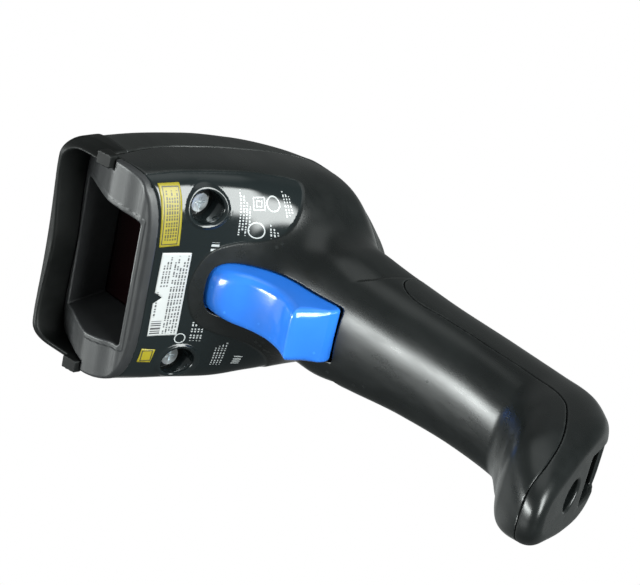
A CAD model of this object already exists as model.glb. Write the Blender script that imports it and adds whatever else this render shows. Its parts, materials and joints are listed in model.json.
# A hand-held scanner: a broad head on a handle, with a trigger at the front of
# the handle. Shapes are worked out in millimetres and scaled to metres. x runs
# across (the shells are mirrored at x = 0), y runs from the nose (negative) to
# the rear, z runs up from the foot of the handle.
#
# Each shell is a field: a function of x, y, z that is negative inside the
# material and roughly the distance to its surface. A net of quads is laid on
# the level where the field is zero.
import bpy
import json
import math
import numpy as np
from concurrent.futures import ThreadPoolExecutor
from functools import reduce
from mathutils import Matrix, Vector
from mathutils.geometry import delaunay_2d_cdt


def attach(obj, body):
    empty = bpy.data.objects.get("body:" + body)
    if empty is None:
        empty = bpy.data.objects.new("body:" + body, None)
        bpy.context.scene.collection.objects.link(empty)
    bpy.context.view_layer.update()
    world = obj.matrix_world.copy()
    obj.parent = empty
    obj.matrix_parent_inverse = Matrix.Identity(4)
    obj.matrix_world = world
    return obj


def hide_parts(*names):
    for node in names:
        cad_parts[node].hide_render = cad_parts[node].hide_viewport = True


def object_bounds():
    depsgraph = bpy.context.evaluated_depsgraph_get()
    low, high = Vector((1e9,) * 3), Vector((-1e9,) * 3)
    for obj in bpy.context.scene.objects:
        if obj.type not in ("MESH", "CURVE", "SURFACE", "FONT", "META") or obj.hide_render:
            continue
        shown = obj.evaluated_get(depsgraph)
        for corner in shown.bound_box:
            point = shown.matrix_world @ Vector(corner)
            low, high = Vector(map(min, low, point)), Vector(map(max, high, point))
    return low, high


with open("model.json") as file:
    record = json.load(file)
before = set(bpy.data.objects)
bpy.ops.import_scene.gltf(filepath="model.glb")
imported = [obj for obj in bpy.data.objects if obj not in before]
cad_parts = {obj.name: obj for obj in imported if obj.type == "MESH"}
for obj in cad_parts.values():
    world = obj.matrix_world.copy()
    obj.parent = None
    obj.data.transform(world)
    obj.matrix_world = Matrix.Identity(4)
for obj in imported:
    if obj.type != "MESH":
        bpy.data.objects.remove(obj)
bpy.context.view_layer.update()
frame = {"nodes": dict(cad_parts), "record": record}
CELL = 0.4      # grid step of the shells
TRIGGER_CELL = CELL * 0.75
BLOCK = 8                               # grid steps per block of the coarse pass
POOL = ThreadPoolExecutor(4)
MM = 0.001

# ---------------------------------------------------------------- dimensions
# y, half width, top z, bottom z, widest z, upper exponent, lower exponent
HEAD = [[-66, 35.6, 173.8, 138, 159.2, 5.0, 3.8], [-62, 35.6, 173.7, 137.4, 158.9, 5.1, 3.9],
        [-48, 35.9, 173.3, 134.9, 157.4, 6.2, 4.5], [-35, 36.3, 173.1, 132.3, 154.9, 5.9, 4.9],
        [-20, 36.3, 171.9, 127.2, 151.3, 5.3, 4.6], [-5, 35.4, 168.5, 122.1, 148.4, 4.7, 3.6],
        [8, 33.6, 162.8, 118.7, 144.4, 4.6, 3], [19, 30.8, 155.5, 116.9, 139.7, 4, 3],
        [28, 22.3, 147.3, 118.2, 135.8, 3.1, 2.2], [34, 15.1, 140, 120, 132.6, 2.4, 2],
        [38, 8.4, 133.2, 121.6, 129.4, 2.1, 2], [40.2, 1.6, 127.8, 125.4, 126.8, 2, 2]]
# z, centre y, half width, depth to the front, depth to the rear, exponent
GRIP = [[-12, -2.2, 10, 21.5, 14.4, 2.4], [0, 1.2, 13.3, 22.6, 15.3, 3.0],
        [10, 6, 17, 22.9, 16.8, 3.3], [20, 11.1, 17.7, 18.9, 17.4, 2.9],
        [32, 14.3, 16.9, 14.8, 17, 2.4], [50, 13.7, 17.2, 13.6, 16.4, 2.4],
        [70, 11.6, 18, 14.2, 16.2, 2.4], [90, 8.8, 19.7, 15.5, 16.2, 2.55],
        [105, 7, 21.3, 17, 16.9, 2.5], [120, 6.9, 21, 19.2, 18.2, 2.4],
        [135, 7, 22.1, 22.2, 20.1, 2.4]]
# z, y of the front edge of the housing
NOSE = [[120, -42], [125, -43.7], [137, -50], [155.7, -56.2], [168, -58.6], [180, -62.8]]
# z, y of the front face of the bezel
FACE = [[100, -50.6], [139, -50.6], [140, -50.6], [146, -52.6], [151, -53.6], [155, -52.8],
        [161, -51], [167, -49.2], [172, -48.6], [178, -48.6], [200, -48.6]]
# y, z of the seam between the housing and the top cover
ROOF_SEAM = [[-70, 154.4], [-53, 154.4], [-42, 155.4], [-31, 155.1], [-19, 152.4],
             [-5.6, 149.7], [4.2, 148.1], [12.9, 145.5], [18, 141], [21.5, 134.5],
             [23.5, 128], [26, 121.2], [31, 118], [45, 117.2], [60, 116]]
# y, z of the seam between the housing and the rear of the handle
BACK_SEAM = [[-40, -14], [-25, -3], [-13.2, 0.9], [-3.2, 6], [6.1, 14.1], [9.4, 19],
             [11.4, 27], [11.8, 36], [11.1, 45.8], [10.5, 53.5], [9.6, 61], [8.3, 68.6],
             [6.4, 77], [7.2, 83.5], [11, 87], [18, 86.5], [40, 84]]
# |x|, y of the inner edge of the glossy panel under the head
PANEL_INNER = [[-8, -33.2], [0.5, -33.3], [8, -31.3], [12.7, -27.9], [15.3, -22.3],
               [17.1, -15.1], [20.1, -9.2], [24.3, -4.7], [27.9, -1.8], [31.1, 0.5],
               [34, 1.4], [45, 2]]
# y, z of the upper side edge of that panel
PANEL_SIDE = [[-60, 143.6], [-48.7, 142.6], [-41.5, 141.4], [-29, 138.7], [-22, 136.8],
              [-12, 134.4], [-3.8, 132.4], [0.8, 130.5], [6, 128]]
# y, z of the crease where the neck meets the handle
CREASE = [[-24, 104], [-14, 101], [-8, 98.4], [-5.5, 96.2], [-3.4, 94.3], [-1.1, 92.5],
          [3, 90], [10.4, 88.1], [13.6, 87.4], [18, 87], [24, 86.6], [34, 86]]
# y, z around the trigger blade: front, toe, rear, then the flat top
BLADE_FRONT = [[-27.6, 133], [-27.6, 129.5], [-26.9, 126], [-24.6, 121.6], [-21.6, 117],
               [-19.6, 111], [-19.7, 104.5], [-21.3, 99]]
BLADE_TOE = [BLADE_FRONT[-1], [-21.8, 97.6], [-21.3, 96.7], [-20, 96]]
BLADE_REAR = [[-10.9, 93], [-8, 92.85], [-6.2, 94], [-5.4, 97.5], [-5.2, 104], [-5, 114],
              [-6, 124], [-9, 131.5]]
BLADE_FLAT = [[-14, 133], [-19, 133]]

WALL = 2.2
NECK_BLEND = 14.8                       # blend between the head and the handle
HEAD_REAR = 40.2
GRIP_TOP = 135
FOOT_TILT = math.radians(21.0)
PANEL_TOP = 146                         # the glossy panel is only below this z
ROOF_GAP, BACK_GAP = 0.3, 0.09          # half the gap at each seam
VISOR_FOOT, VISOR_REAR = 154.4, -47.3   # z and y of the notch for the nose visor
VISOR_GAP = 0.075
SCREW = (26.2, -31.4)                   # |x|, y of the screws under the head
POST = (21.5, -14)                      # |x|, y of the posts inside the head
BACK_POSTS = (36, 74)                   # z of the posts in the handle
PIVOT = (-24, 135.5)                    # y, z of the trigger pivot
PIVOT_BORE, PIVOT_HUB = 1.56, 3.3
BLADE_HALF, BLADE_TIP, BLADE_TOP = 8.8, 9.6, 133
BLADE_SHOULDER = -18                    # y where the sides start to round off
BLADE_PLAY = 0.4
RIB_PITCH = 1.6
PIPE_AT, PIPE_TILT = (11.9, 150.5), math.radians(-80)
LABEL_THICK = 0.2


# ---------------------------------------------------------- curves and fields
def monotone_cubic(xs, ys, at):
    """Cubic through the points that never overshoots them."""
    gap = np.diff(xs)
    slope = np.diff(ys) / gap
    tangent = np.empty(len(xs))
    tangent[0], tangent[-1] = slope[0], slope[-1]
    for i in range(1, len(xs) - 1):
        if slope[i - 1] * slope[i] <= 0:
            tangent[i] = 0
        else:
            before, after = 2 * gap[i] + gap[i - 1], gap[i] + 2 * gap[i - 1]
            tangent[i] = (before + after) / (before / slope[i - 1] + after / slope[i])
    i = np.clip(np.searchsorted(xs, at) - 1, 0, len(xs) - 2)
    t = np.clip((at - xs[i]) / gap[i], 0, 1)
    a, b = tangent[i] * gap[i], tangent[i + 1] * gap[i]
    y0, y1 = ys[i], ys[i + 1]
    return y0 + t * (a + t * (-3 * y0 + 3 * y1 - 2 * a - b + t * (2 * y0 - 2 * y1 + a + b)))


class Stations:
    """Columns of a table as smooth functions of its first column."""
    STEPS = 6000

    def __init__(self, rows):
        data = np.array(rows, float)
        self.low, self.high = data[0, 0], data[-1, 0]
        at = np.linspace(self.low, self.high, self.STEPS)
        self.columns = [monotone_cubic(data[:, 0], data[:, c], at)
                        for c in range(1, data.shape[1])]

    def __call__(self, value):
        last = self.STEPS - 1
        t = np.clip((value - self.low) / (self.high - self.low) * last, 0, last - 0.0001)
        i = t.astype(np.int64)
        part = t - i
        return [c[i] + (c[i + 1] - c[i]) * part for c in self.columns]


def curve(rows):
    stations = Stations(rows)
    return lambda value: stations(value)[0]


def smooth_line(points, per=10):
    """Catmull-Rom line through the points, with per steps to a span."""
    p = np.array(points, float)
    p = np.vstack([2 * p[0] - p[1], p, 2 * p[-1] - p[-2]])
    t = np.linspace(0, 1, per, endpoint=False)[:, None]
    out = []
    for a, b, c, d in zip(p[:-3], p[1:-2], p[2:-1], p[3:]):
        out.append(0.5 * (2 * b + (c - a) * t + (2 * a - 5 * b + 4 * c - d) * t * t
                          + (-a + 3 * b - 3 * c + d) * t ** 3))
    out.append(p[-2][None])
    return np.vstack(out)


class Outline:
    """Signed distance to a closed outline, negative inside, from a fine grid."""

    def __init__(self, points, low, high, step=0.3):
        p = np.array(points, float)
        self.low, self.step = np.array(low, float), step
        self.count = [int((high[k] - low[k]) / step) + 2 for k in (0, 1)]
        axes = [low[k] + step * np.arange(self.count[k]) for k in (0, 1)]
        U, V = np.meshgrid(*axes, indexing="ij")
        nearest = np.full(U.shape, 1e9)
        inside = np.zeros(U.shape, bool)
        for (ax, ay), (bx, by) in zip(p, np.roll(p, -1, axis=0)):
            dx, dy = bx - ax, by - ay
            square = dx * dx + dy * dy
            if square < 1e-12:
                continue
            t = np.clip(((U - ax) * dx + (V - ay) * dy) / square, 0, 1)
            nearest = np.minimum(nearest, (U - ax - t * dx) ** 2 + (V - ay - t * dy) ** 2)
            if by != ay:
                inside ^= ((ay > V) != (by > V)) & (U < (bx - ax) * (V - ay) / (by - ay) + ax)
        self.grid = np.where(inside, -1, 1) * np.sqrt(nearest)

    def __call__(self, u, v):
        a = np.clip((u - self.low[0]) / self.step, 0, self.count[0] - 1.001)
        b = np.clip((v - self.low[1]) / self.step, 0, self.count[1] - 1.001)
        i, j = a.astype(np.int64), b.astype(np.int64)
        s, t = a - i, b - j
        g = self.grid
        return ((g[i, j] * (1 - t) + g[i, j + 1] * t) * (1 - s)
                + (g[i + 1, j] * (1 - t) + g[i + 1, j + 1] * t) * s)


# The last argument of join, meet and cut is the width of the rounded blend.
def join(a, b, blend):
    h = np.clip(0.5 + 0.5 * (b - a) / blend, 0, 1)
    return b * (1 - h) + a * h - blend * h * (1 - h)


def meet(a, b, blend):
    return -join(-a, -b, blend)


def cut(shape, tool, blend):
    return meet(shape, -tool, blend)


def common(*fields):
    """What the fields share, with sharp edges."""
    return reduce(np.maximum, fields)


def ease(t):
    t = np.clip(t, 0, 1)
    return t * t * (3 - 2 * t)


def rod(u, v, at, radius):
    return np.hypot(u - at[0], v - at[1]) - radius


def span(value, middle, half):
    return np.abs(value - middle) - half


def box(x, y, z, centre, half, corner=0.0):
    q = [np.abs(p - c) - h + corner for p, c, h in zip((x, y, z), centre, half)]
    outside = np.sqrt(sum(np.maximum(a, 0) ** 2 for a in q))
    return outside + np.minimum(common(*q), 0) - corner


def oval(u, v, half_u, half_v, power, lift=0.0):
    """Superellipse; lift keeps the field below zero at the centre."""
    reach = np.sqrt(u * u + v * v + lift)
    r = ((np.abs(u) / half_u) ** power + (np.abs(v) / half_v) ** power + 1e-9) ** (1 / power)
    return reach * (1 - 1 / r)


def turned(y, z, angle, origin=(0, 0)):
    """y and z in a frame turned about x."""
    y, z = y - origin[0], z - origin[1]
    c, s = math.cos(angle), math.sin(angle)
    return y * c + z * s, -y * s + z * c


head_at, grip_at = Stations(HEAD), Stations(GRIP)
nose_y, plain_face_y = curve(NOSE), curve(FACE)
panel_side_z, crease_z = curve(PANEL_SIDE), curve(CREASE)
roof_side = Outline(np.vstack([smooth_line(ROOF_SEAM), [[60, 200], [-70, 200]]]),
                    (-72, 100), (62, 200))
back_side = Outline(np.vstack([smooth_line(BACK_SEAM), [[60, 60], [60, -30], [-40, -30]]]),
                    (-40, -30), (60, 110))
panel_inner = Outline(np.vstack([smooth_line(PANEL_INNER), [[45, -80], [-8, -80]]]),
                      (-6, -80), (44, 20))
blade_side = Outline(np.vstack([smooth_line(BLADE_FRONT, 8)[:-1], smooth_line(BLADE_TOE, 6),
                                smooth_line(BLADE_REAR, 8), BLADE_FLAT]),
                     (-40, 84), (5, 142), 0.15)


# ------------------------------------------------------------------ the body
def head(x, y, z):
    width, top, bottom, widest, upper, lower = head_at(y)
    above = z > widest
    height = np.where(above, top - widest, widest - bottom)
    power = np.where(above, upper, lower)
    return common(oval(x, z - widest, width, height, power), y - HEAD_REAR)


def grip(x, y, z):
    centre, width, front, rear, power = grip_at(z)
    dy = y - centre
    sides = oval(x, dy, width, np.where(dy < 0, front, rear), power)
    foot = math.sin(FOOT_TILT) * y - math.cos(FOOT_TILT) * z
    blend = 3 + 3.2 * ease((2 - y) / 14) * ease((12 - z) / 8)
    return common(meet(sides, foot, blend), z - GRIP_TOP)


def body(x, y, z):
    return join(head(x, y, z), grip(x, y, z), NECK_BLEND)


def panel(x, y, z):
    """Distance to the outline of the glossy panel, negative inside."""
    return meet(panel_inner(np.abs(x), y), (z - panel_side_z(y)) * 0.95, 2.2)


def saddle(y, z):
    """Depth by which the neck falls in above the crease."""
    rise = z - crease_z(y)
    side = ease((y + 4.5) / 7.0) * (1 - ease((y - 11) / 9.0))
    fade = np.clip(1 - rise / 17.0, 0, 1) ** 1.7
    return 1.05 * (np.where(rise > 0, fade, 0) * ease(rise / 1.7)) * side


def skin(x, y, z):
    """Outer surface of the housing: the panel is sunk, the screw rings raised."""
    to_screw = np.hypot(np.abs(x) - SCREW[0], y - SCREW[1])
    ring = np.where(z < 145, 1.0, 0.0) * ease((7.0 - to_screw) / 1.1)
    sunk = ease(0.5 - panel(x, y, z) / 0.75) * np.where(z < PANEL_TOP, 1.0, 0.0)
    return body(x, y, z) + saddle(y, z) + 0.34 * sunk * (1 - ring) - 0.35 * ring


def gloss(x, y, z):
    """1 on the glossy panel, 0 elsewhere and deep in the screw mouths."""
    to_screw = np.hypot(np.abs(x) - SCREW[0], y - SCREW[1])
    mouth = ease(z - 136.5) * np.where(to_screw < 5.4, 1.0, 0.0)
    return (ease(0.5 - panel(x, y, z) / 0.5) * np.where(z < PANEL_TOP, 1.0, 0.0)
            * (1 - mouth))


# ---------------------------------------------------------------- the shells
def tongue(solid, seam, reach, limit):
    """Lip inside a seam that closes the line of sight through the joint. It
    grows from the side where seam is negative."""
    band = common(-(solid + WALL + 0.85), limit)
    lip = common(solid + WALL + 0.12, np.abs(seam) - reach)
    root = common(solid + WALL - 0.4, seam + 0.7, -seam - reach)
    return common(band, np.minimum(lip, root))


def blade_plan(x, y, grow):
    """Outline of the trigger blade seen along the handle."""
    half = BLADE_HALF + grow
    ahead = np.minimum(y - BLADE_SHOULDER, 0)
    rounded = oval(x, ahead, half, BLADE_TIP + grow, 3, 1e-9)
    return np.where(y > BLADE_SHOULDER, np.abs(x) - half, rounded)


def main_housing(x, y, z):
    solid = body(x, y, z)
    under_skin = solid + WALL / 2
    f = cut(skin(x, y, z), solid + WALL, 0.5)
    f = meet(f, nose_y(z) + 3.35 - y, 0.75)
    f = cut(f, roof_side(y, z) - ROOF_GAP, 0.7)
    f = cut(f, common(VISOR_FOOT - z, y - VISOR_REAR), 0.5)
    f = cut(f, back_side(y, z) - BACK_GAP, 0.4)
    # screw bosses, lugs beside the trigger, posts
    f = join(f, common(rod(x, y, SCREW, 6.7), span(z, 130.8, 10.8), under_skin), 1.0)
    lug = box(x, y, z, centre=(12.15, PIVOT[0], 131.7), half=(1.3, 4, 7.7), corner=0.5)
    f = join(f, common(lug, under_skin), 0.6)
    f = join(f, common(rod(x, y, POST, 2.4), span(z, 132.95, 12.95), under_skin), 0.6)
    # boss in the tilted foot, with a rib to the front of it
    yf, zf = turned(y, z, FOOT_TILT)
    foot_rib = common(span(x, 0, 3.8), span(yf, -9, 9))
    foot_boss = np.minimum(rod(x, yf, (0, 0), 4.4), foot_rib)
    f = join(f, common(foot_boss, span(zf, 16.2, 4), under_skin), 0.6)
    # trigger opening, round at the front, and the bore for its pivot
    slot = meet(blade_plan(x, y, BLADE_PLAY), 92.55 - z, 1.5)
    f = cut(f, common(slot, y, z - 138.2), 0.6)
    f = cut(f, common(rod(y, z, PIVOT, PIVOT_BORE), x - 14), 0.25)
    # tapered counterbores, screw holes, holes in the posts and the foot boss
    f = cut(f, common(rod(x, y, SCREW, 5.05) + 0.035 * (z - 132), z - 138.6), 1.15)
    f = cut(f, rod(x, y, SCREW, 1.7) + np.maximum(0, z - 150), 0.2)
    f = cut(f, common(rod(x, y, POST, 1.0), 137 - z), 0.15)
    return cut(f, common(rod(x, yf, (0, 0), 1.45), span(zf, 14.8, 2.8)), 0.15)


def grip_back(x, y, z):
    solid = body(x, y, z)
    under_skin = solid + WALL / 2
    f = cut(solid + saddle(y, z) * ease((z - 80) / 2), solid + WALL, 0.5)
    # boss in the foot, posts, and the walls of the recess
    yf, zf = turned(y, z, FOOT_TILT)
    f = join(f, common(rod(x, yf, (0, 0), 6.35), span(zf, 6, 6), under_skin), 0.8)
    for post_z in BACK_POSTS:
        f = join(f, common(rod(x, z, (0, post_z), 2.4), 22.35 - y, under_skin), 0.5)
    walls = common(box(x, y, z, centre=(0, 15.2, 8), half=(9.6, 7.6, 8)),
                   -box(x, y, z, centre=(0, 15.1, 10), half=(7.8, 5.7, 15)))
    f = join(f, common(walls, under_skin), 0.5)
    seam = back_side(y, z)
    f = meet(f, seam + BACK_GAP, 0.4)
    f = np.minimum(f, tongue(solid, seam, 1.3, 24 - z))
    # stepped screw hole in the foot, blind holes in the posts
    f = cut(f, common(rod(x, yf, (0, 0), 4.65), zf - 10), 0.9)
    f = cut(f, common(rod(x, yf, (0, 0), 1.7), zf - 20), 0.2)
    for post_z in BACK_POSTS:
        f = cut(f, common(rod(x, z, (0, post_z), 1.0), 20 - y, solid + 0.55), 0.15)
    # recess for the cable, with shallow ribs on its rear wall
    ribs = np.where(y > 21, 0.22 * np.cos(z * 2 * math.pi / RIB_PITCH), 0)
    mouth = box(x, y, z, centre=(0, 16.1, 2.6), half=(7.8, 6.7, 7.6), corner=0.8)
    f = cut(f, mouth + ribs, 0.7)
    deep = box(x, y, z, centre=(0, 15.1, 5.6), half=(7.8, 5.7, 10.6), corner=0.3)
    return cut(f, deep, 0.4)


def top_cover(x, y, z):
    solid = body(x, y, z)
    seam = roof_side(y, z)
    f = meet(cut(solid, solid + WALL, 0.5), seam + ROOF_GAP, 0.7)
    f = np.minimum(f, tongue(solid, seam, 1.4, 108 - z))
    f = meet(f, VISOR_REAR + 2 * VISOR_GAP - y, 0.7)
    # screw bosses with their holes, and the hole for the light pipe
    boss = common(rod(x, y, SCREW, 3.6), 141.8 - z, solid + WALL / 2)
    f = join(f, boss, 0.8)
    f = cut(f, common(rod(x, y, SCREW, 1.45), span(z, 147, 7)), 0.2)
    yp, zp = turned(y, z, PIPE_TILT, PIPE_AT)
    return cut(f, common(rod(x, yp, (0, 0), 2.1), -zp), 0.4)


def nose_visor(x, y, z):
    solid = body(x, y, z)
    corner = 4.0 * np.clip((np.abs(x) - 28.5) / 7.0, 0, 1.2) ** 2
    tip = meet(nose_y(z), -57.4 - (x / 26) ** 2, 1.0) + corner
    notch = common(VISOR_FOOT + VISOR_GAP - z, y - VISOR_REAR + VISOR_GAP)
    rim = meet(cut(solid - 0.6, solid + 3.2, 1.5), meet(notch, tip - y, 1.5), 1.2)
    # small tab at the lower corner of each side
    patch = box(x, y, z, centre=(35, -54.6, 154.2), half=(4, 2.3, 2.6), corner=0.7)
    tab = meet(cut(solid - 0.9, solid + 3.2, 0.8), patch, 0.6)
    return join(rim, common(tab, nose_y(z) - y), 0.5)


def tunnel(x, y, z, grow):
    """Opening of the bezel, narrowing from its face to the window."""
    t = (y + 48.6) / 12.6
    top, bottom = 168.7 - 0.7 * t, 139 + 4.3 * t
    u = np.clip((z - bottom) / (top - bottom), -0.5, 1.5)
    half = (20.1 - 2.9 * t) * (1 - u) + (21.9 - 3.1 * t) * u
    corner = 0.7
    qx = np.abs(x) - half - grow + corner
    qz = np.maximum(z - top, bottom - z) - grow + corner
    return (np.hypot(np.maximum(qx, 0), np.maximum(qz, 0))
            + np.minimum(np.maximum(qx, qz), 0) - corner)


def bezel(x, y, z):
    solid = body(x, y, z)
    nose = nose_y(z)
    # below the tunnel the face follows the nose
    t = ease((z - 137.6) / 2.8)
    face = (nose + 0.3) * (1 - t) + plain_face_y(z) * t
    slab = common(face - y, y - np.where(z < 139, nose + 3.2, face + 2.6))
    lip = common(solid, y - nose - 3.2, z - 151.4)
    outer = np.minimum(lip, solid + 3.35)
    tube = common(tunnel(x, y, z, 1.5), y + 36, face - y)
    return cut(meet(join(slab, tube, 0.4), outer, 0.9), tunnel(x, y, z, 0), 0.5)


def trigger_blade(x, y, z):
    # the finger face dips across its width as well as along it
    dip = 0.495 * (np.abs(x) / BLADE_HALF) ** 2 * ease((-9 - y) / 6)
    blend = 2.2 + 0.6 * ease((y + 27) / 6) - 1.5 * ease((y + 16) / 6)
    f = meet(blade_side(y, z) + dip, blade_plan(x, y, 0), blend)
    f = common(f, z - BLADE_TOP)
    f = np.minimum(f, common(rod(y, z, PIVOT, PIVOT_HUB), span(x, 0, BLADE_HALF)))
    # block under the hub, tail bar along the top, plate behind the hub
    for centre, half, corner in (
            ((0, PIVOT[0], 134.15), (BLADE_HALF, PIVOT_HUB, 1.35), 0.1),
            ((0, -12.3, 135.4), (3.6, 11.7, 2.4), 0.3),
            ((0, -15, BLADE_TOP), (BLADE_HALF, 7, 1), 0.1)):
        f = np.minimum(f, box(x, y, z, centre, half, corner))
    return cut(f, rod(y, z, PIVOT, PIVOT_BORE), 0.15)


# --------------------------------------------------------- mesh from a field
def evaluate(field, points, chunk=60000):
    parts = [points[i:i + chunk] for i in range(0, len(points), chunk)]
    return np.concatenate(list(POOL.map(lambda q: field(q[:, 0], q[:, 1], q[:, 2]), parts)))


def gradient(field, points, reach=0.06):
    """Slope from four samples at the corners of a tetrahedron."""
    total = np.zeros_like(points)
    for corner in [(1, -1, -1), (-1, -1, 1), (-1, 1, -1), (1, 1, 1)]:
        way = np.array(corner, float)
        total += way * evaluate(field, points + way * reach)[:, None]
    return total / (4 * reach)


def lattice(*axes):
    return np.stack(np.meshgrid(*axes, indexing="ij"), -1).reshape(-1, 3)


def sample(field, origin, blocks, cell):
    """Field on a grid: full detail only in blocks that may hold the surface."""
    values = np.empty([b * BLOCK + 1 for b in blocks], np.float32)
    side = cell * BLOCK
    coarse = evaluate(field, lattice(*[origin[k] + side * (np.arange(blocks[k]) + 0.5)
                                       for k in range(3)]))
    spread = coarse.reshape(blocks)
    for axis in range(3):
        spread = np.repeat(spread, BLOCK, axis)
    values[:-1, :-1, :-1] = spread
    values[-1], values[:, -1], values[:, :, -1] = 9, 9, 9   # well outside
    # 1.6 allows for fields steeper than true distance
    near = np.abs(coarse) < 1.6 * side * 0.5 * math.sqrt(3) + 0.5
    starts = np.array(np.nonzero(near.reshape(blocks))).T * BLOCK
    offsets = lattice(*[np.arange(BLOCK + 1)] * 3)
    for s in range(0, len(starts), 400):
        at = (starts[s:s + 400, None, :] + offsets[None]).reshape(-1, 3)
        values[at[:, 0], at[:, 1], at[:, 2]] = evaluate(field, origin + cell * at, 40000)
    return values


def cell_points(values, cells):
    """Mean of the crossings on the edges of each cell, in grid steps."""
    I, J, K = cells
    total, count = np.zeros((len(I), 3)), np.zeros(len(I))
    for axis in range(3):
        others = [a for a in range(3) if a != axis]
        for u in (0, 1):
            for v in (0, 1):
                start = [0, 0, 0]
                start[others[0]], start[others[1]] = u, v
                end = list(start)
                end[axis] += 1
                f0 = values[I + start[0], J + start[1], K + start[2]]
                f1 = values[I + end[0], J + end[1], K + end[2]]
                crossed = (f0 < 0) != (f1 < 0)
                at = np.tile(np.array(start, float), (crossed.sum(), 1))
                at[:, axis] += f0[crossed] / (f0[crossed] - f1[crossed])
                total[crossed] += at
                count[crossed] += 1
    return total / count[:, None] + np.stack([I, J, K], 1)


def edge_quads(inside, ids):
    """One quad around every grid edge that crosses the surface."""
    quads = []
    for axis in range(3):
        first, second = [(1, 2), (2, 0), (0, 1)][axis]
        a, b = [slice(None)] * 3, [slice(None)] * 3
        a[axis], b[axis] = slice(0, -1), slice(1, None)
        edges = np.array(np.nonzero(inside[tuple(a)] != inside[tuple(b)]))
        keep = np.ones(edges.shape[1], bool)
        for k in (first, second):
            keep &= (edges[k] > 0) & (edges[k] < inside.shape[k] - 1)
        if axis == 0:
            keep &= edges[0] > 0
        edges = edges[:, keep]
        corners = []
        for back_first, back_second in ((1, 1), (0, 1), (0, 0), (1, 0)):
            at = edges.copy()
            at[first] -= back_first
            at[second] -= back_second
            corners.append(ids[at[0], at[1], at[2]])
        quad = np.column_stack(corners)
        outward = inside[edges[0], edges[1], edges[2]]
        quad[~outward] = quad[~outward][:, ::-1]
        quads.append(quad)
    return np.vstack(quads)


def net(field, low, high, cell):
    """Closed quad mesh of field = 0 between the corners, mirrored across x = 0."""
    blocks = [int(math.ceil((high[k] - low[k]) / (cell * BLOCK))) + 1 for k in range(3)]
    origin = np.array([-cell / 2, low[1], low[2]])
    values = sample(field, origin, blocks, cell)
    inside = values < 0
    n = inside.shape
    count = np.zeros([a - 1 for a in n], np.uint8)
    for i in (0, 1):
        for j in (0, 1):
            for k in (0, 1):
                count += inside[i:n[0] - 1 + i, j:n[1] - 1 + j, k:n[2] - 1 + k]
    cells = np.nonzero((count > 0) & (count < 8))
    ids = -np.ones(count.shape, np.int64)
    ids[cells] = np.arange(len(cells[0]))
    points = origin + cell * cell_points(values, cells)
    middle = cells[0] == 0
    points[middle, 0] = 0
    quads = edge_quads(inside, ids)
    # two Newton steps pull the points onto the surface
    for _ in range(2):
        distance, slope = evaluate(field, points), gradient(field, points)
        move = -(distance / ((slope * slope).sum(1) + 1e-9))[:, None] * slope
        length = np.linalg.norm(move, axis=1)
        move *= np.minimum(1, 0.45 * cell / (length + 1e-9))[:, None]
        move[middle, 0] = 0
        points = points + move
    # keep only the points that faces use, then mirror
    used = np.zeros(len(points), bool)
    used[quads.ravel()] = True
    points, middle, quads = points[used], middle[used], (np.cumsum(used) - 1)[quads]
    slope = gradient(field, points)
    slope[middle, 0] = 0
    normals = slope / (np.linalg.norm(slope, axis=1)[:, None] + 1e-12)
    side = np.nonzero(~middle)[0]
    other = np.arange(len(points))
    other[side] = len(points) + np.arange(len(side))
    flip = [-1, 1, 1]
    return (np.vstack([points, points[side] * flip]),
            np.vstack([quads, other[quads][:, ::-1]]),
            np.vstack([normals, normals[side] * flip]))


def make_mesh(name, points, faces, normals=None, scale=MM):
    mesh = bpy.data.meshes.new(name)
    mesh.vertices.add(len(points))
    mesh.vertices.foreach_set("co", (points * scale).astype(np.float32).ravel())
    mesh.loops.add(faces.size)
    mesh.loops.foreach_set("vertex_index", faces.astype(np.int32).ravel())
    mesh.polygons.add(len(faces))
    mesh.polygons.foreach_set("loop_start",
                              np.arange(0, faces.size, faces.shape[1], dtype=np.int32))
    mesh.polygons.foreach_set("use_smooth", np.ones(len(faces), bool))
    mesh.update(calc_edges=True)
    if normals is not None:
        mesh.normals_split_custom_set_from_vertices(normals.tolist())
    ob = bpy.data.objects.new(name, mesh)
    bpy.context.scene.collection.objects.link(ob)
    return ob


# --------------------------------------------------------------- shader nodes
class Tree:
    """Short ways to build shader nodes. Values may be numbers, tuples or the
    outputs of other nodes."""

    def __init__(self, owner):
        owner.use_nodes = True
        self.tree = owner.node_tree
        self.tree.nodes.clear()

    def feed(self, socket, value):
        if isinstance(value, bpy.types.NodeSocket):
            self.tree.links.new(value, socket)
            return
        if isinstance(value, tuple) and len(socket.default_value) > len(value):
            value = (*value, 1)
        socket.default_value = value

    def node(self, kind, output=0, inputs=None, **settings):
        made = self.tree.nodes.new("ShaderNode" + kind)
        for key, value in settings.items():
            setattr(made, key, value)
        for key, value in (inputs or {}).items():
            self.feed(made.inputs[key], value)
        return made.outputs[output]

    def math(self, operation, *values):
        return self.node("Math", 0, dict(enumerate(values)), operation=operation)

    def add(self, a, b):
        return self.math("ADD", a, b)

    def sub(self, a, b):
        return self.math("SUBTRACT", a, b)

    def mul(self, a, b):
        return self.math("MULTIPLY", a, b)

    def ramp(self, value, start, end, low=0.0, high=1.0):
        """Goes smoothly from low to high as value goes from start to end."""
        return self.node("MapRange", 0, {"From Min": start, "From Max": end, "To Min": low,
                                         "To Max": high, "Value": value},
                         interpolation_type="SMOOTHSTEP")


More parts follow.
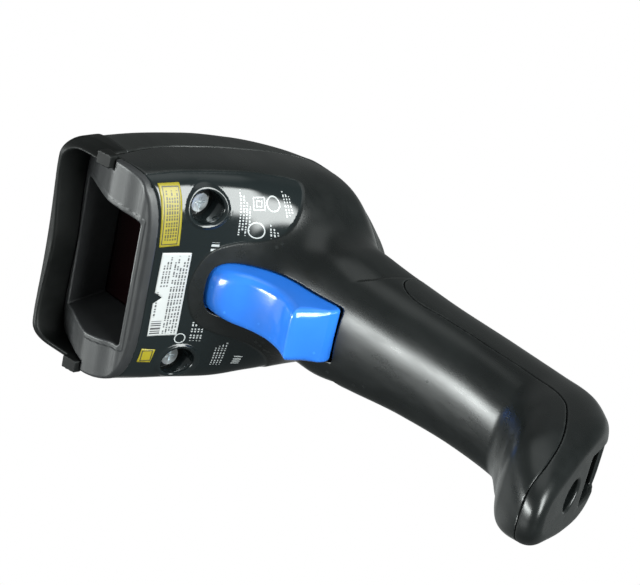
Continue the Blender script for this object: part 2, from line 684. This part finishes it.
class Surface(Tree):
    """A material with one principled shader, patterned in object space."""

    def __init__(self, name):
        self.material = bpy.data.materials.new(name)
        super().__init__(self.material)
        self.output = self.tree.nodes.new("ShaderNodeOutputMaterial")
        self.principled = self.tree.nodes.new("ShaderNodeBsdfPrincipled")
        self.feed(self.output.inputs[0], self.principled.outputs[0])
        self.position = self.node("TexCoord", "Object")

    def set(self, values):
        for key, value in values.items():
            self.feed(self.principled.inputs[key], value)

    def noise(self, scale, detail=4, rough=0.6, stretch=None):
        at = self.position
        if stretch:
            at = self.node("Mapping", 0, {0: at, "Scale": stretch})
        return self.node("TexNoise", "Fac", {"Scale": scale, "Detail": detail,
                                             "Roughness": rough, "Vector": at})

    def voronoi(self, scale):
        return self.node("TexVoronoi", "Distance", {"Scale": scale, "Vector": self.position})

    def mix(self, factor, a, b):
        return self.node("Mix", 2, {0: factor, 6: a, 7: b}, data_type="RGBA")

    def gloss(self):
        return self.node("Attribute", "Fac", attribute_name="gloss")

    def xyz(self):
        return [self.tree.nodes[-1].outputs[k] for k in range(3)
                if k or self.node("SeparateXYZ", 0, {0: self.position})]

    def bump(self, height, strength, distance, base=None):
        inputs = {"Strength": strength, "Distance": distance, "Height": height}
        if base is not None:
            inputs["Normal"] = base
        return self.node("Bump", 0, inputs)

    def distance(self, du, dv):
        return self.math("SQRT", self.add(self.mul(du, du), self.mul(dv, dv)))

    def largest(self, masks):
        return reduce(lambda a, b: self.math("MAXIMUM", a, b), masks)


def bar_masks(n, u, v, rows):
    """Dashed bars: (v from, v to, u from, u to, period, duty, jitter)."""
    def band(value, start, end, soft=0.05):
        return n.mul(n.ramp(value, start - soft, start + soft),
                     n.ramp(value, end + soft, end - soft))

    masks = []
    for v0, v1, u0, u1, period, duty, jitter in rows:
        bar = n.mul(band(v, v0, v1), band(u, u0, u1))
        wobble = n.mul(n.math("SINE", n.mul(u, 1.9 + jitter)), 1.7 * jitter)
        phase = n.add(n.mul(u, 2 * math.pi / period), wobble)
        level = 1 - 2 * duty
        masks.append(n.mul(bar, n.ramp(n.math("SINE", phase), level - 0.12, level + 0.12)))
    return masks


def ring_masks(n, u, v, rows):
    """Outlines: (u, v, radius, half line width, square or round)."""
    masks = []
    for centre_u, centre_v, radius, width, square in rows:
        du = n.math("ABSOLUTE", n.sub(u, centre_u))
        dv = n.math("ABSOLUTE", n.sub(v, centre_v))
        d = n.math("MAXIMUM", du, dv) if square else n.distance(du, dv)
        d = n.math("ABSOLUTE", n.sub(d, radius))
        masks.append(n.ramp(d, width + 0.05, width - 0.03))
    return masks


# Marks on the glossy panel, u = x and v = y in millimetres
PANEL_BARS = (
    [(-21.6 + 0.95 * i, -21.15 + 0.95 * i, 18.2 + 1.1 * (i % 2), 31.6 - 1.5 * i,
      0.9, 0.62, 0.4 + 0.1 * i) for i in range(4)]
    + [(-7.6 + 0.9 * i, -7.2 + 0.9 * i, 24.4 + 0.5 * i, 31 - 0.6 * i, 0.85, 0.6, 0.5)
       for i in range(3)]
    + [(-12.6 + 0.9 * i, -12.2 + 0.9 * i, 17.2, 22.2 - i, 0.9, 0.6, 0.6) for i in range(3)]
    + [(-28.6, -26.3, 11.2, 15.4, 1.4, 0.6, 0.2)]
    + [(-29.6 + 1.0 * i, -29.1 + 1.0 * i, -18.3, -11.6 - 0.3 * i, 1.1, 0.55, 0.7)
       for i in range(4)]
    + [(-21.0 + 0.95 * i, -20.6 + 0.95 * i, -27.2, -20.6 + 0.8 * i, 0.95, 0.6, 0.5)
       for i in range(4)]
    + [(-14.4, -12.0, -26.8, -23.4, 1.0, 0.55, 0.3)])
PANEL_RINGS = [(27.9, -15.7, 1.75, 0.14, True), (27.9, -11.2, 2.0, 0.16, False),
               (20.1, -16.4, 2.3, 0.17, False), (27.9, -15.7, 0.8, 0.12, True),
               (-17.4, -32.6, 1.6, 0.15, False)]


def panel_marks(n):
    x, y, _ = n.xyz()
    u, v = n.mul(x, 1000), n.mul(y, 1000)
    marks = n.largest(bar_masks(n, u, v, PANEL_BARS) + ring_masks(n, u, v, PANEL_RINGS))
    # none on the raised rings round the screws
    to_screw = n.distance(n.sub(n.math("ABSOLUTE", u), SCREW[0]), n.add(v, -SCREW[1]))
    marks = n.mul(marks, n.ramp(to_screw, 7.0, 7.3))
    return n.mul(marks, n.ramp(n.gloss(), 0.6, 0.9))


def glossy_panel(n, color, rough, normal, streaks):
    """Lays the polished, printed panel over a grained plastic."""
    amount = n.gloss()
    color = n.mix(amount, color, (0.0085, 0.0120, 0.0128))
    polished = n.add(0.10, n.mul(n.ramp(streaks, 0.35, 0.7), 0.05))
    rough = n.add(n.mul(rough, n.sub(1.0, amount)), n.mul(polished, amount))
    flat = n.node("NewGeometry", "Normal")
    normal = n.node("Mix", 1, {0: amount, 4: normal, 5: flat}, data_type="VECTOR")
    color = n.mix(n.mul(panel_marks(n), 0.85), color, (0.5, 0.52, 0.52))
    return color, rough, normal


def plastic(name, color, rough, grain=0.3, bump=0.25, vary=0.035, wear=None, coat=0.0,
            ior=1.5, mottle=0.12, panel=False):
    """Moulded plastic: fine grain (mm), slow colour drift (mottle), streaks that
    vary the roughness, and edges polished to the wear colour."""
    n = Surface(name)
    pits = n.voronoi(scale=1000 / grain)
    streaks = n.noise(scale=160, detail=5, rough=0.65, stretch=(1, 1, 0.25))
    dark = tuple(c * (1 - mottle) for c in color)
    light = tuple(min(1, c * (1 + mottle * 1.6) + 0.002) for c in color)
    color = n.mix(n.ramp(n.noise(scale=38, detail=3), 0.35, 0.68), dark, light)
    rough = n.add(rough - vary, n.mul(n.ramp(streaks, 0.3, 0.75), 2 * vary))
    if wear:
        edge = n.ramp(n.node("NewGeometry", "Pointiness"), 0.505, 0.56)
        edge = n.mul(edge, n.ramp(n.noise(scale=300), 0.3, 0.6, low=0.35))
        color = n.mix(edge, color, wear)
        rough = n.sub(rough, n.mul(edge, 0.08))
    normal = n.bump(pits, strength=bump, distance=grain * 0.00012)
    normal = n.bump(n.noise(scale=1400, detail=2), strength=bump * 0.5, distance=0.00003,
                    base=normal)
    if panel:
        color, rough, normal = glossy_panel(n, color, rough, normal, streaks)
    n.set({"Base Color": color, "Roughness": n.math("MAXIMUM", rough, 0.04),
           "IOR": ior, "Normal": normal})
    if coat:
        n.set({"Coat Weight": coat, "Coat Roughness": 0.08})
    return n.material


def metal(name, color, rough):
    """Finely brushed metal with dull blotches."""
    n = Surface(name)
    brushed = n.noise(scale=2600, detail=3, rough=0.5, stretch=(1, 1, 0.2))
    blotch = n.noise(scale=420)
    n.set({"Base Color": n.mix(n.ramp(blotch, 0.5, 0.75, high=0.45), color, (0.12, 0.11, 0.1)),
           "Metallic": 1.0,
           "Roughness": n.add(rough, n.mul(n.ramp(blotch, 0.35, 0.7), 0.16)),
           "Normal": n.bump(brushed, strength=0.4, distance=0.00002)})
    return n.material


def circuit_board(name):
    """Solder mask over copper tracks in two directions, with bare pads."""
    n = Surface(name)
    x, y, z = n.xyz()

    def tracks(along, frequency):
        wave = n.math("ABSOLUTE", n.math("SINE", n.mul(along, frequency)))
        return n.ramp(wave, 0.72, 0.84)

    pick = n.ramp(n.noise(scale=210, detail=1, rough=0.3), 0.47, 0.5)
    lines = n.add(n.mul(tracks(n.add(x, n.mul(y, 0.31)), 3100), pick),
                  n.mul(tracks(z, 2700), n.sub(1.0, pick)))
    pads = n.ramp(n.voronoi(scale=520), 0.2, 0.17)
    color = n.mix(n.mul(lines, 0.75), (0.006, 0.075, 0.03), (0.02, 0.2, 0.085))
    padded = n.ramp(n.noise(scale=90, detail=1), 0.5, 0.56)
    relief = n.add(lines, n.mul(pads, 0.6))
    n.set({"Base Color": n.mix(n.mul(pads, padded), color, (0.62, 0.6, 0.55)),
           "Roughness": n.add(0.26, n.mul(n.noise(scale=700, detail=3), 0.12)),
           "Normal": n.bump(relief, strength=0.5, distance=0.00004)})
    return n.material


def clear(name, color, rough, ior=1.5, transmission=1.0):
    """Clear plastic or glass with faint smears."""
    n = Surface(name)
    smear = n.noise(scale=55, stretch=(1, 1, 2.5))
    n.set({"Base Color": n.mix(n.ramp(smear, 0.3, 0.7), color, tuple(c * 0.86 for c in color)),
           "Roughness": n.add(rough, n.mul(n.ramp(smear, 0.4, 0.7), 0.05)),
           "IOR": ior,
           "Transmission Weight": transmission,
           "Normal": n.bump(n.noise(scale=900, detail=2), strength=0.06, distance=0.00001)})
    return n.material


def sticker(name, base, ink, origin, axis=(1, 0), rows=(), border=None, size=None):
    """Printed vinyl. rows are bars in the sticker's own millimetres, measured
    from origin along axis; border is (inset, line width) in a sticker of size."""
    n = Surface(name)
    x, y, _ = n.xyz()
    right = n.sub(n.mul(x, 1000), origin[0])
    up = n.sub(n.mul(y, 1000), origin[1])
    u = n.add(n.mul(right, axis[0]), n.mul(up, axis[1]))
    v = n.add(n.mul(right, -axis[1]), n.mul(up, axis[0]))
    masks = bar_masks(n, u, v, rows)
    if border:
        inset, width = border
        d = n.math("MAXIMUM", n.sub(n.math("ABSOLUTE", u), size[0] / 2 - inset),
                   n.sub(n.math("ABSOLUTE", v), size[1] / 2 - inset))
        masks.append(n.mul(n.ramp(d, -width - 0.04, -width + 0.04), n.ramp(d, 0.04, -0.04)))
    dirt = n.ramp(n.noise(scale=260), 0.5, 0.8, high=0.16)
    paper = n.mix(dirt, base, tuple(c * 0.7 for c in base))
    n.set({"Base Color": n.mix(n.mul(n.largest(masks), 0.93), paper, ink),
           "Roughness": n.add(0.34, n.mul(n.noise(scale=600, detail=3), 0.12)),
           "Normal": n.bump(n.noise(scale=2200, detail=3), strength=0.12, distance=0.00002)})
    return n.material


# ------------------------------------------------------------------ materials
HOUSING = dict(color=(0.0052, 0.0066, 0.0066), rough=0.30, grain=0.26, bump=0.16, vary=0.05,
               wear=(0.016, 0.018, 0.018))
MATERIALS = {
    "shell_plastic": plastic("mat_shell", **HOUSING),
    "cover_plastic": plastic("mat_cover", (0.0060, 0.0074, 0.0070), rough=0.44, grain=0.34,
                             bump=0.3, vary=0.06, wear=(0.02, 0.022, 0.022)),
    "bumper_rubber": plastic("mat_bumper", (0.0036, 0.0042, 0.0040), rough=0.5, bump=0.35,
                             vary=0.07, wear=(0.010, 0.011, 0.011), mottle=0.2, ior=1.25),
    "bezel_plastic": plastic("mat_bezel", (0.0170, 0.0180, 0.0192), rough=0.46, bump=0.35,
                             vary=0.05, wear=(0.028, 0.029, 0.031)),
    "trigger_blue": plastic("mat_trigger", (0.024, 0.195, 0.80), rough=0.22, grain=0.5,
                            bump=0.06, vary=0.04, wear=(0.05, 0.28, 0.9), coat=0.65,
                            mottle=0.05),
    "black_part": plastic("mat_black_part", (0.02, 0.02, 0.021), rough=0.45, bump=0.3,
                          vary=0.08),
    "chassis_plastic": plastic("mat_chassis", (0.024, 0.024, 0.026), rough=0.52, grain=0.35,
                               bump=0.35, vary=0.06),
    "plunger_cream": plastic("mat_plunger", (0.62, 0.55, 0.38), rough=0.4, bump=0.2,
                             vary=0.06),
    "sensor": plastic("mat_sensor", (0.03, 0.035, 0.06), rough=0.12, grain=0.5, bump=0.02,
                      vary=0.03, coat=0.6),
    "led_white": plastic("mat_led", (0.8, 0.72, 0.4), rough=0.3, grain=0.4, bump=0.1,
                         vary=0.05, coat=0.4),
    "ribbon": plastic("mat_ribbon", (0.55, 0.55, 0.5), rough=0.38, grain=0.6, bump=0.15,
                      vary=0.05),
    "steel": metal("mat_steel", (0.74, 0.78, 0.8), rough=0.3),
    "brass": metal("mat_brass", (0.72, 0.5, 0.2), rough=0.3),
    "gold": metal("mat_gold", (0.83, 0.6, 0.24), rough=0.24),
    "board_green": circuit_board("mat_board"),
    "window_clear": clear("mat_window", (0.012, 0.003, 0.004), rough=0.04, transmission=0.7),
    "lens_glass": clear("mat_lens", (0.75, 0.85, 0.98), rough=0.01, ior=1.6),
    "pipe_clear": clear("mat_pipe", (0.82, 0.93, 0.86), rough=0.12, ior=1.49,
                        transmission=0.8),
}
for label_slot in ("label_white", "label_yellow"):
    MATERIALS[label_slot] = MATERIALS["plunger_cream"]
belly = plastic("mat_belly", **HOUSING, panel=True)

for row in frame["record"]["subparts"]:
    part = frame["nodes"][row["node"]]
    material = MATERIALS[row["material_slot"]]
    if not part.material_slots:
        part.data.materials.append(material)
    for material_slot in part.material_slots:
        material_slot.link = "OBJECT"
        material_slot.material = material


# ------------------------------------------------------------ build the shells
def shell(name, field, low, high, node, slot, rides="scanner", cell=CELL, material=None,
          gloss_field=None):
    points, quads, normals = net(field, low, high, cell)
    ob = make_mesh(name, points, quads, normals)
    if gloss_field:
        attribute = ob.data.attributes.new("gloss", "FLOAT", "POINT")
        attribute.data.foreach_set("value", evaluate(gloss_field, points).astype(np.float32))
    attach(ob, rides)
    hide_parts(node)
    ob.data.materials.append(material or MATERIALS[slot])


shell("housing_shell", main_housing, (0, -56, -8), (38.5, 38, 158), "main_housing",
      "shell_plastic", material=belly, gloss_field=gloss)
shell("grip_back_shell", grip_back, (0, -26, -10), (20.5, 36, 91), "grip_back_cover",
      "shell_plastic")
shell("roof_shell", top_cover, (0, -49, 113), (38.5, 42.5, 176.5), "top_cover",
      "cover_plastic")
shell("nose_visor", nose_visor, (0, -64, 149), (40, -45, 178), "nose_bumper",
      "bumper_rubber")
shell("funnel_frame", bezel, (0, -58, 130), (37.5, -33, 176), "window_bezel",
      "bezel_plastic")
shell("trigger_blade", trigger_blade, (0, -33, 90), (11, 1, 141), "trigger",
      "trigger_blue", rides="trigger", cell=TRIGGER_CELL)


# ------------------------------------------------------------------- stickers
def underside_z(x, y, off):
    """Height under the head that lies off outside the skin, by bisection."""
    low, high = np.full(len(x), 125.0), np.full(len(x), 150.0)
    for _ in range(38):
        middle = (low + high) / 2
        outside = skin(x, y, middle) - off > 0
        low, high = np.where(outside, middle, low), np.where(outside, high, middle)
    return (low + high) / 2


def label_plate(name, outline, material, node, cell=0.45):
    """A thin closed plate with an x, y outline that follows the skin."""
    corners = np.array(outline, float)
    ring = []
    for a, b in zip(corners, np.roll(corners, -1, axis=0)):
        count = max(1, int(np.linalg.norm(b - a) / cell))
        ring += [a + (b - a) * i / count for i in range(count)]
    ring = np.array(ring)
    low, high = ring.min(0), ring.max(0)
    gx, gy = np.meshgrid(np.arange(low[0], high[0], cell), np.arange(low[1], high[1], cell))
    grid = np.column_stack([gx.ravel(), gy.ravel()])
    to_rim = Outline(ring, low - 2, high + 2, 0.15)
    grid = grid[to_rim(grid[:, 0], grid[:, 1]) < -cell * 0.6]
    n = len(ring)
    result = delaunay_2d_cdt([Vector(p) for p in np.vstack([ring, grid])],
                             [(i, (i + 1) % n) for i in range(n)], [], 1, 1e-5)
    flat = np.array([tuple(v) for v in result[0]])
    faces = np.array([t for t in result[2] if len(t) == 3])
    # wind every triangle to face down
    e1, e2 = flat[faces[:, 1]] - flat[faces[:, 0]], flat[faces[:, 2]] - flat[faces[:, 0]]
    up = e1[:, 0] * e2[:, 1] - e1[:, 1] * e2[:, 0] > 0
    faces[up] = faces[up][:, ::-1]
    x, y = flat[:, 0], flat[:, 1]
    # the visible face curls in towards the skin at its rim
    curl = 0.35 * LABEL_THICK * ease(1 + to_rim(x, y) / 0.25)
    visible = np.column_stack([flat, underside_z(x, y, LABEL_THICK) + curl])
    hidden = np.column_stack([flat, underside_z(x, y, 0.02)])
    m = len(flat)
    edges = dict.fromkeys((t[i], t[(i + 1) % 3]) for t in faces.tolist() for i in range(3))
    rim = []
    for a, b in edges:
        if (b, a) not in edges:
            rim += [(b, a, a + m), (b, a + m, b + m)]
    ob = make_mesh(name, np.vstack([visible, hidden]),
                   np.vstack([faces, m + faces[:, ::-1], rim]))
    for polygon in ob.data.polygons:
        polygon.use_smooth = polygon.index < len(faces)
    ob.data.materials.append(material)
    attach(ob, "scanner")
    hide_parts(node)


WHITE, YELLOW = (0.45, 0.46, 0.455), (0.27, 0.225, 0.012)
INK = (0.02, 0.02, 0.02)
DATA_BARS = (
    [(3.7 - 0.95 * i, 4.2 - 0.95 * i, -13.4, 13.0 - 1.9 * (i % 3), 1.15, 0.74, 0.5 + 0.13 * i)
     for i in range(5)]
    + [(-4.2, -0.9, -13.6, -8.9, 0.9, 0.6, 0.6), (-4.1, -3.5, -7.6, 1.0, 1.0, 0.7, 0.5)]
    + [(-1.6 - 0.95 * i, -1.1 - 0.95 * i, 2.6, 12.6 - 1.3 * i, 0.95, 0.7, 0.7)
       for i in range(3)])
YELLOW_BARS = [(1.5 - 0.8 * i, 1.95 - 0.8 * i, -7.4, 7.6 - 1.4 * (i % 2), 1.05, 0.74,
                0.4 + 0.1 * i) for i in range(5)]

white_vinyl = sticker("mat_label_white", WHITE, (0.03, 0.03, 0.032), origin=(-2.1, -38.8),
                      rows=DATA_BARS)
yellow_vinyl = sticker("mat_label_yellow", YELLOW, INK, origin=(23.4, -42.35),
                       axis=(0.998, -0.04), rows=YELLOW_BARS, border=(0.55, 0.32),
                       size=(18.6, 6.3))
small_vinyl = sticker("mat_label_small", YELLOW, INK, origin=(-23.3, -42.1),
                      border=(0.5, 0.35), size=(5.0, 4.6))
label_plate("data_label_plate",
            [[-16.2, -43.4], [-5.0, -43.6], [-3.1, -41.0], [-1.3, -43.6], [12.0, -43.5],
             [11.8, -34.1], [-16.2, -33.9]], white_vinyl, "data_label")
label_plate("yellow_label_plate", [[13.8, -45.0], [32.6, -46.2], [33.0, -39.6], [14.2, -38.6]],
            yellow_vinyl, "yellow_label")
label_plate("small_label_plate",
            [[-25.6, -44.6], [-20.6, -44.2], [-21.2, -39.6], [-26, -40.2]],
            small_vinyl, "small_label")

# --------------------------------------------------------------------- camera
# Rows are the camera's right, up and backward axes, before a small turn about
# VIEW_TURN (camera axes, its length is the angle in radians).
VIEW_AXES = np.array([[0.15551814, 0.77634304, -0.6108237],
                      [0.84446385, 0.216346, 0.4899747],
                      [0.51253772, -0.59201848, -0.62194791]])
VIEW_TURN = np.array([-0.09548988, 0.03626989, -0.03814866])
CAMERA_AT = np.array([-66.95188105, 54.17509789, 500.0])    # mm, in camera axes
LENS = 105.64914375


def turn_matrix(turn):
    angle = np.linalg.norm(turn)
    x, y, z = turn / angle
    K = np.array([[0, -z, y], [z, 0, -x], [-y, x, 0]])
    return np.eye(3) + math.sin(angle) * K + (1 - math.cos(angle)) * K @ K


# the nearest exact rotation; its transpose takes camera axes to object axes
left_basis, _, right_basis = np.linalg.svd(turn_matrix(VIEW_TURN) @ VIEW_AXES)
FROM_CAMERA = (left_basis @ right_basis).T

camera = bpy.data.objects.new("camera", bpy.data.cameras.new("camera"))
bpy.context.scene.collection.objects.link(camera)
camera.data.sensor_width = 36
camera.data.lens = LENS
camera.data.clip_start, camera.data.clip_end = 0.05, 20
placing = np.eye(4)
placing[:3, :3] = FROM_CAMERA
placing[:3, 3] = FROM_CAMERA @ CAMERA_AT * MM
camera.matrix_world = Matrix(placing.tolist())
bpy.context.scene.camera = camera

# ---------------------------------------------------------------------- floor
FLOOR_HALF, FLOOR_DROP = 2.5, 0.0004    # metres
floor_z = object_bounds()[0].z - FLOOR_DROP
floor = make_mesh("floor", np.array([[sx * FLOOR_HALF, sy * FLOOR_HALF, floor_z]
                                     for sx, sy in ((-1, -1), (1, -1), (1, 1), (-1, 1))]),
                  np.array([[0, 1, 2, 3]]), scale=1.0)


def floor_material():
    """Off-white from above, clear from below."""
    n = Surface("mat_floor")
    n.set({"Base Color": n.mix(n.noise(scale=3, detail=3), (0.80, 0.80, 0.795),
                               (0.83, 0.83, 0.825)),
           "Roughness": 0.7})
    sided = n.node("MixShader", 0, {0: n.node("NewGeometry", "Backfacing"),
                                    1: n.principled.outputs[0],
                                    2: n.node("BsdfTransparent")})
    n.feed(n.output.inputs[0], sided)
    return n.material


floor.data.materials.append(floor_material())
floor.visible_diffuse = False
floor.visible_glossy = False
floor.visible_transmission = False
floor.visible_shadow = False

# ---------------------------------------------------------------------- world
# Plain white to the camera; to the object a dim gradient with soft boxes.
world = bpy.data.worlds.new("studio")
bpy.context.scene.world = world
sky = Tree(world)
sky_direction = sky.node("TexCoord", "Generated")


def facing(direction):
    return sky.node("VectorMath", "Value",
                    {0: sky_direction, 1: tuple(float(c) for c in direction)},
                    operation="DOT_PRODUCT")


def from_camera(azimuth, elevation):
    """Direction in degrees, from straight behind the camera, right and up."""
    az, el = math.radians(azimuth), math.radians(elevation)
    return FROM_CAMERA @ (math.sin(az) * math.cos(el), math.sin(el),
                          math.cos(az) * math.cos(el))


def soft_box(direction, up, half_width, half_height, strength, edge):
    """A rectangular light at infinity; sizes and soft edge in radians."""
    ahead = np.array(direction, float)
    ahead /= np.linalg.norm(ahead)
    up = np.array(up, float)
    up = up - (up @ ahead) * ahead
    up /= np.linalg.norm(up)
    front = facing(ahead)
    across = sky.math("ABSOLUTE", sky.math("ARCTAN2", facing(np.cross(up, ahead)), front))
    along = sky.math("ABSOLUTE", sky.math("ARCTAN2", facing(up), front))
    mask = sky.mul(sky.ramp(across, half_width + edge, half_width - edge),
                   sky.ramp(along, half_height + edge, half_height - edge))
    return sky.mul(sky.mul(mask, sky.ramp(front, 0.0, 0.05)), strength)


CAMERA_UP = FROM_CAMERA @ (0, 1, 0)
lights = [
    # long box on the left, for the highlight down the handle
    soft_box(from_camera(-80, -3.5), up=FROM_CAMERA @ (0.083, 0.93, 0.36),
             half_width=0.43, half_height=0.115, strength=25.0, edge=0.07),
    # tall box on the right, mirrored by the glossy panel
    soft_box(from_camera(45, -5), up=CAMERA_UP,
             half_width=0.24, half_height=0.46, strength=17.0, edge=0.08),
    # wide weak box overhead
    soft_box(from_camera(25, 68), up=FROM_CAMERA @ (0, 0, 1),
             half_width=0.45, half_height=0.35, strength=0.9, edge=0.15),
    # low band beyond the object
    soft_box(from_camera(180, -4), up=CAMERA_UP,
             half_width=0.75, half_height=0.22, strength=0.45, edge=0.15),
    # broad faint box towards the rear of the scanner
    soft_box((0.30, 0.80, 0.52), up=(0, 0, 1),
             half_width=0.6, half_height=0.6, strength=0.12, edge=0.2),
]
ambient = sky.ramp(facing(FROM_CAMERA @ (-0.35, 0.0, 0.94)), -0.35, 0.6, low=0.11, high=0.25)
studio = sky.node("Background", 0, {"Color": (0.95, 1.0, 0.985),
                                    "Strength": sky.add(reduce(sky.add, lights), ambient)})
backdrop = sky.node("Background", 0, {"Color": (1, 1, 1), "Strength": 1.0})
shown = sky.node("MixShader", 0, {0: sky.node("LightPath", "Is Camera Ray"),
                                  1: studio, 2: backdrop})
sky.feed(sky.tree.nodes.new("ShaderNodeOutputWorld").inputs[0], shown)
bpy.context.scene.view_settings.view_transform = "Standard"
bpy.context.scene.view_settings.look = "None"
